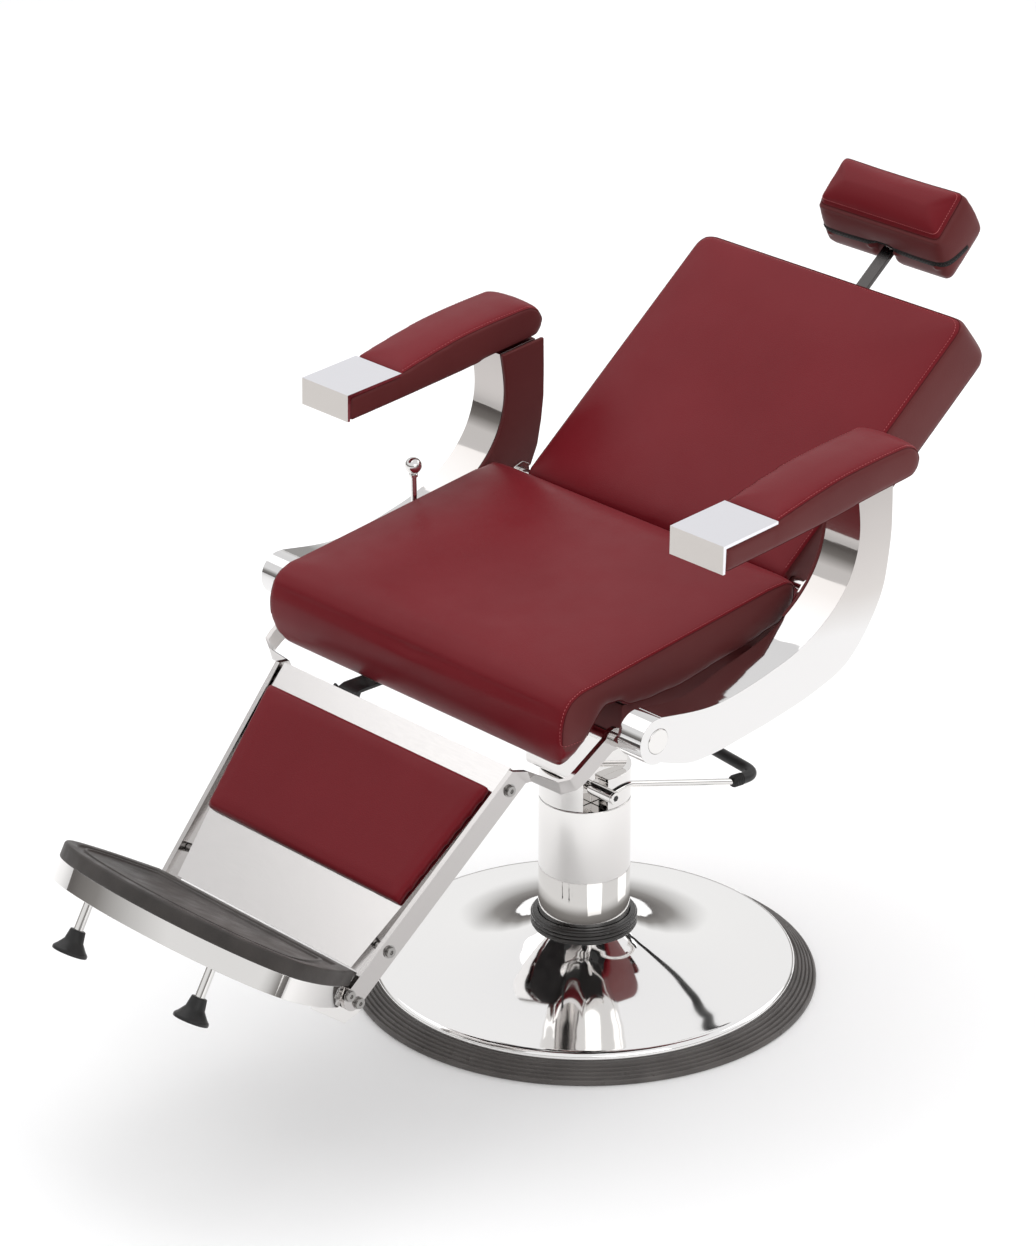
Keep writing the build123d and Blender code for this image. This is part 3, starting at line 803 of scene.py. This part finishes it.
def arm_pad(side):
    """Pad with a seam down each side, its vinyl tucked under the cap in front."""
    node = f"arm_pad_{side}"
    low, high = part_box(node)
    edges = (low.x, high.x)
    seams = [outline(node, lambda v: abs(v.x - x) < 0.4 * MM) for x in edges]
    step = [CAP_STEP + Vector((x, 0, 0)) for x in edges]
    pad = soft(node, f"arm_pad_soft_{side}", tilted(ARM_LEVEL, ARM_SLOPE),
               seams + [(step, False)], 3.0, 4.0,
               lambda c, n: n.z < -0.5 or c.y < -0.052, 4.0, (4.5, 16.0))
    tuck(pad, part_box(f"arm_cap_{side}"))
    place(pad, "seat", VINYL, "upholstery", [node])
    boxing = 2.2 * MM
    # The pad's sides outside its seams get the darker vinyl: painted shade.
    panel(pad, VINYL_PAINTED_SHADE, lambda c, n: not low.x + boxing < c.x < high.x - boxing)
    cap_rear, cap_front, cap_low, crown = -0.048, -0.1335, 0.745, 0.757
    for k, (path, _) in enumerate(seams):
        shown = unroll([p for p in dense(path, True)
                        if p.y > cap_front and not (p.y < cap_rear and p.z > cap_low)])
        seam_cord(f"arm_welt_{side}_{k}", pad, shown, False, "seat", "upholstery", 0.6)
        inward = Vector(((4.5, -4.5)[k] * MM, 0, 0))
        top = [p + inward for p in shown if p.z > crown and p.y > -0.05]
        stitches(f"arm_stitch_{side}_{k}", pad, top, False, "seat", "upholstery")


def tuck(pad, cap_box, wall=4.6, slope=0.0855):
    """Keep the pad's vinyl inside the bent cap, whose underside climbs to the rear."""
    front = cap_box[0].y + wall * MM
    for v in pad.data.vertices:
        v.co.y = max(v.co.y, front)
        if v.co.y < -0.0485:
            v.co.z = min(v.co.z, CAP_UNDER + (v.co.y + 0.0495) * slope)


def unroll(path):
    """Start an open path at its widest gap."""
    n = len(path)
    gap = max(range(n), key=lambda i: (path[i] - path[i - 1]).length)
    return path[gap:] + path[:gap]


# ---- back and headrest ----
def u_path(plane, half, low, top, r, z, steps=8):
    """Up one side, over the rounded top and down the other, in a plane's own millimetres."""
    pts = [(-half, low), (-half, top - r)]
    turn = [math.radians(90 * i / steps) for i in range(1, steps + 1)]
    pts += [(-half + r - r * math.cos(a), top - r + r * math.sin(a)) for a in turn]
    pts += [(-x, y) for x, y in reversed(pts)]
    return [plane @ Vector((x * MM, y * MM, z * MM)) for x, y in pts]


def back():
    front_seam, rear_seam, inset = 19.5, -51.5, 5
    front = u_path(BACK, BACK_HALF, 2, BACK_LEN, SHOULDER_R, front_seam)
    rear = u_path(BACK, BACK_HALF, 2, BACK_LEN, SHOULDER_R, rear_seam)
    seams = [(front, False), (rear, False)]
    cushion = soft("back_cushion", "back_cushion_soft", BACK, seams, 4.0, 7.0,
                   lambda c, n: n.z < -0.6)
    place(cushion, "back", VINYL, "upholstery", ["back_cushion"])
    flat = BACK.inverted()
    boxing = (front_seam - 0.9) * MM
    # The boxing behind the front seam gets the darker vinyl: painted shade.
    panel(cushion, VINYL_PAINTED_SHADE, lambda c, n: (flat @ c).z < boxing and (flat @ c).y > -2 * MM)
    seam_cord("back_welt_front", cushion, front, False, "back", "upholstery")
    seam_cord("back_welt_rear", cushion, rear, False, "back", "upholstery")
    inner = u_path(BACK, BACK_HALF - inset, 4, BACK_LEN - inset, SHOULDER_R - 2, front_seam + 1.5)
    stitches("back_stitch", cushion, inner, False, "back", "upholstery")
    solid("back_rod", STEEL, "pump_steel", 0.4)
    solid("headrest_socket", BLACK_STEEL, "frame_steel", 0.8)
    solid("headrest_bar", BAR, "chrome", 0.7)
    headrest()


def headrest():
    """Box cushion, its slot for the bar left flat, with the knuckle and the zipper."""
    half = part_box("headrest_cushion")[1].x / MM
    slot = SLOT_HALF * MM
    front_height, rear_height, corner, inset = 72, 83, 10, 10
    edge = ring_path(HEAD, 2 * half - 1, front_height, corner, 0)
    behind = ring_path(HEAD_REAR, 2 * half - 1, rear_height, corner, 0)
    seams = [(edge, True), (behind, True)]
    cushion = soft("headrest_cushion", "headrest_soft", HEAD, seams, 12.0, 8.0,
                   lambda c, n: n.z < -0.6 or (abs(c.x) < slot and c.z < -0.03), 3.5, (13.0, 15.0))
    place(cushion, "headrest", VINYL, "upholstery", ["headrest_cushion"])
    flat = HEAD.inverted()
    # All of the headrest but its front face gets the darker vinyl: painted shade.
    panel(cushion, VINYL_PAINTED_SHADE, lambda c, n: (flat @ c).z < -1.2 * MM)
    seam_cord("headrest_welt_front", cushion, edge, True, "headrest", "upholstery")
    past_slot = [p for p in dense(behind, True) if abs(p.x) > slot or p.z > HEAD_REAR_MID.z]
    seam_cord("headrest_welt_rear", cushion, unroll(past_slot), False, "headrest", "upholstery")
    inner = ring_path(HEAD, 2 * half - 1 - inset, front_height - inset, corner - 2, 4)
    stitches("headrest_stitch", cushion, inner, True, "headrest", "upholstery", 3.6)
    solid("headrest_knuckle", BLACK_STEEL, "frame_steel", 0.6)
    zipper(cushion, half)


TAPE_SECTION = ((-4.2, -0.3), (-3.6, 0.5), (-1.2, 0.6), (1.2, 0.6), (3.6, 0.5), (4.2, -0.3))


def zipper(cushion, half):
    """Zipper along the lower boxing, turning up round both ends: tape, teeth and puller."""
    mid = HEAD_LOW_FRONT.lerp(HEAD_LOW_REAR, 0.54)
    side = Vector((half * MM, 0, 0))
    upturn = Vector((0, 0.924, 0.383)) * 42 * MM
    path = rounded([mid - side + upturn, mid - side, mid + side, mid + side + upturn], 0.010)
    t = tree_of(cushion)
    pts = ease(on_surface(t, dense(path, False, 2.4 * MM), 0), False, 4)
    tape, teeth = bmesh.new(), bmesh.new()
    rows = []
    for i, p in enumerate(pts):
        co, normal, _, _ = t.find_nearest(p)
        d = (pts[min(i + 1, len(pts) - 1)] - pts[max(i - 1, 0)]).normalized()
        across = normal.cross(d).normalized()
        rows.append([tape.verts.new(co + across * w * MM + normal * h * MM)
                     for w, h in TAPE_SECTION])
        offset = (-0.55, 0.55)[i % 2] * MM
        tooth = axes(d, across, normal, co + across * offset + normal * 0.9 * MM)
        block(teeth, tooth, 1.3, 2.0, 0.9)
    n = len(TAPE_SECTION)
    for a, b in zip(rows, rows[1:]):
        for j in range(n):
            k = (j + 1) % n
            tape.faces.new((a[j], a[k], b[k], b[j]))
    tape.faces.new(rows[0])
    tape.faces.new(rows[-1])
    place(from_bmesh("headrest_zip_tape", tape), "headrest", TAPE, "zip_tape", ["headrest_zip"])
    place(from_bmesh("headrest_zip_teeth", teeth, False), "headrest", BLACK_STEEL, "zip_tape")
    zip_puller(t, mid)


def zip_puller(surface, mid):
    """Slider with its tab lying beside it."""
    co, normal, _, _ = surface.find_nearest(mid + Vector((0.010, 0, 0)))
    x = Vector((1, 0, 0))
    along = (HEAD_LOW_REAR - HEAD_LOW_FRONT).normalized()
    slider = axes(x, normal.cross(x), normal, co + normal * 1.9 * MM)
    tab = slider.copy()
    tab.translation = co + normal * 3.4 * MM + Vector((0.009, 0, 0)) + along * 1.5 * MM
    bm = bmesh.new()
    block(bm, slider, 7, 5, 2.2)
    block(bm, tab, 14, 4, 1.1)
    o = from_bmesh("headrest_zip_puller", bm, False)
    mod = o.modifiers.new("edges", "BEVEL")
    mod.width, mod.segments = 0.4 * MM, 2
    bake(o)
    place(o, "headrest", SCREW, "zip_tape")


# ---- legrest and footplate ----
def legrest():
    solid("leg_panel", STEEL, "chrome", 0.9, 3)
    pad = soft("calf_pad", "calf_pad_soft", LEG, [], 0.6, 1.0, lambda c, n: n.z < 0.4, 3.2,
               (2.5, 20.0))
    place(pad, "legrest", VINYL, "upholstery", ["calf_pad"])
    for side in SIDES:
        solid(f"leg_rail_{side}", RAIL, "chrome", 1.1, 3)
    solid("rail_screws", SCREW, "chrome", 0.5, 3)
    solid("foot_bolts", SCREW, "chrome", 0.5, 3)
    washers()
    solid("link_bracket", BLACK_STEEL, "frame_steel", 0.5)
    solid("drive_link", BLACK_STEEL, "chrome", 0.8)


def washers():
    """Thin washers under the rail screw and footplate bolt heads."""
    head, thick = 4.0 * MM, 0.9 * MM
    bm = bmesh.new()
    for node, radius in (("rail_screws", 8.2 * MM), ("foot_bolts", 7.8 * MM)):
        for centre, reach in heads(frame["nodes"][node].data):
            turn = Matrix.Rotation(math.radians(90), 4, "Y")
            turn.translation = Vector((reach - math.copysign(head, reach), centre.y, centre.z))
            bmesh.ops.create_cone(bm, cap_ends=True, segments=40, radius1=radius,
                                  radius2=radius, depth=thick, matrix=turn)
    place(from_bmesh("screw_washers", bm, False), "legrest", SCREW, "chrome")


def heads(mesh):
    """Centre and outer x of each separate fastener in a group."""
    bm = bmesh.new()
    bm.from_mesh(mesh)
    bmesh.ops.remove_doubles(bm, verts=bm.verts, dist=2e-6)
    todo, out = set(bm.verts), []
    while todo:
        stack, island = [todo.pop()], []
        while stack:
            v = stack.pop()
            island.append(v.co.copy())
            for e in v.link_edges:
                w = e.other_vert(v)
                if w in todo:
                    todo.remove(w)
                    stack.append(w)
        reach = max((c.x for c in island), key=abs)
        ys, zs = [c.y for c in island], [c.z for c in island]
        out.append((Vector((0, (min(ys) + max(ys)) / 2, (min(zs) + max(zs)) / 2)), reach))
    bm.free()
    return out


def foot_plan(inset, steps=12, bow_steps=64):
    """Footplate plan in its own millimetres: straight back, swelling sides, bowed front."""
    half, rear, deep, bow = 218 - inset, 182 - inset, 114.0, 85 - inset
    side = [(rear + (half - rear) * math.sin(math.pi / 2 * i / steps),
             -inset - (deep - inset) * i / steps) for i in range(steps)]
    sweep = [math.pi * i / bow_steps for i in range(bow_steps + 1)]
    front = [(half * math.cos(a), -deep - bow * math.sin(a)) for a in sweep]
    return side + front + [(-x, y) for x, y in reversed(side)]


def plate(name, levels):
    """Stack of footplate outlines, (inset, height) each, skinned into one solid."""
    bm = bmesh.new()
    rings = [[bm.verts.new(FOOT @ Vector((x * MM, y * MM, z * MM)))
              for x, y in foot_plan(inset)] for inset, z in levels]
    n = len(rings[0])
    for a, b in zip(rings, rings[1:]):
        for i in range(n):
            bm.faces.new((a[i], a[(i + 1) % n], b[(i + 1) % n], b[i]))
    bm.faces.new(rings[0])
    bm.faces.new(rings[-1])
    return from_bmesh(name, bm)


def footplate():
    """Moulded mat, its edge rolled over the tray and its middle sunk behind a bead."""
    edge = [(0.8, -19.4), (0.2, -18.6), (0, -17.5), (0, -3), (0.6, -1.2), (1.8, -0.2), (3.4, 0)]
    rim = [(15.0, 0), (16.6, -0.4), (17.8, -2.4), (19.0, -2.8)]
    bead = [(27, -2.8), (27.8, -2.3), (28.6, -0.6), (31.4, -0.6), (32.2, -2.3), (33, -2.8)]
    mat = plate("foot_mat_moulded", edge + rim + bead)
    smooth_by_angle(mat, 50)
    place(mat, "legrest", MAT, "mat_rubber", ["foot_mat"])
    solid("foot_tray", CHROME, "chrome", 1.0, 3)
    for side in SIDES:
        solid(f"foot_post_{side}", CHROME, "chrome", 0.5)
        solid(f"foot_pad_{side}", BLACK, "black_rubber", 1.2, 3)


def recline_lever():
    solid("recline_rod", CHROME, "chrome", 0.5)
    solid("recline_knob", CHROME, "chrome", 0.1)
    solid("recline_pin", STEEL, "pump_steel", 0.5)
    low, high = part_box("recline_knob")
    centre = (low + high) / 2
    neck = [(4.2, -16), (5.8, -15), (5.8, -11.8), (4.6, -10.8), (4.2, -10)]
    o = lathe("recline_neck", mm(neck), 40)
    o.data.transform(Matrix.Translation(centre))
    place(o, "recline_lever", CHROME, "chrome")


# ---- studio ----
def studio():
    pale_floor()
    sky()
    target = Vector((0, -0.1, 0.45))
    lamp("key", (-2.2, -1.0, 4.5), target, 4.2, 38)
    lamp("fill", (4.0, -1.2, 2.2), target, 3.0, 24)
    lamp("top", (-0.6, 1.6, 4.2), target, 4.6, 84).visible_glossy = False
    lamp("rim", (1.5, 4.0, 2.6), target, 3.0, 20)


def pale_floor(reach=14.0):
    mesh = bpy.data.meshes.new("studio_floor")
    corners = [(-reach, -reach, 0), (reach, -reach, 0), (reach, reach, 0), (-reach, reach, 0)]
    mesh.from_pydata(corners, [], [(0, 1, 2, 3)])
    floor = link("studio_floor", mesh)
    m, t, b = material("pale_floor", (0.90, 0.90, 0.90), 0.6, Emission_Strength=0.06)
    b.inputs["Emission Color"].default_value = (1, 1, 1, 1)
    vary(t, b, "Roughness", 0.55, 0.65, 3)
    mesh.materials.append(m)


def sky():
    """Pale surround for the reflections, darker near the horizon, behind a white backdrop."""
    world = bpy.data.worlds.new("studio")
    world.use_nodes = True
    bpy.context.scene.world = world
    t = world.node_tree
    back = t.nodes["Background"]
    coord = t.nodes.new("ShaderNodeTexCoord")
    split = t.nodes.new("ShaderNodeSeparateXYZ")
    t.links.new(coord.outputs["Generated"], split.inputs["Vector"])
    stops = [(0.0, (0.16, 0.15, 0.145)), (0.14, (0.30, 0.29, 0.28)), (0.32, (0.96, 0.96, 0.96)),
             (0.75, (0.92, 0.92, 0.93)), (1.0, (0.92, 0.92, 0.93))]
    tone = ramp(t, split.outputs["Z"], stops)
    t.links.new(tone.outputs["Color"], back.inputs["Color"])
    back.inputs["Strength"].default_value = 0.95
    plain = t.nodes.new("ShaderNodeBackground")
    plain.inputs["Color"].default_value = (1, 1, 1, 1)
    path = t.nodes.new("ShaderNodeLightPath")
    choose = t.nodes.new("ShaderNodeMixShader")
    t.links.new(path.outputs["Is Camera Ray"], choose.inputs["Fac"])
    t.links.new(back.outputs["Background"], choose.inputs[1])
    t.links.new(plain.outputs["Background"], choose.inputs[2])
    t.links.new(choose.outputs["Shader"], t.nodes["World Output"].inputs["Surface"])


def lamp(name, at, target, size, power):
    """Square soft box, size in metres and power in watts, aimed at target."""
    data = bpy.data.lights.new(name, "AREA")
    data.shape, data.size, data.energy = "SQUARE", size, power
    o = bpy.data.objects.new(name, data)
    bpy.context.scene.collection.objects.link(o)
    o.location = at
    o.rotation_mode = "QUATERNION"
    o.rotation_quaternion = (target - Vector(at)).to_track_quat("-Z", "Y")
    return o


# ---- camera: angles in degrees ----
AZIMUTH = 47.25
ELEVATION = 23.773
CAMERA_AT = (3.82127, -3.64768, 2.81931)


def camera():
    data = bpy.data.cameras.new("camera")
    data.lens, data.sensor_width = 133.5, 36.0
    data.clip_end = 100
    o = bpy.data.objects.new("camera", data)
    bpy.context.scene.collection.objects.link(o)
    az, el = math.radians(AZIMUTH), math.radians(ELEVATION)
    back = Vector((math.sin(az) * math.cos(el), -math.cos(az) * math.cos(el), math.sin(el)))
    o.location = CAMERA_AT
    o.rotation_mode = "QUATERNION"
    o.rotation_quaternion = (-back).to_track_quat("-Z", "Y")
    bpy.context.scene.camera = o
    bpy.context.scene.view_settings.view_transform = "Standard"


base()
column()
lever()
seat()
arms()
back()
legrest()
footplate()
recline_lever()
studio()
camera()
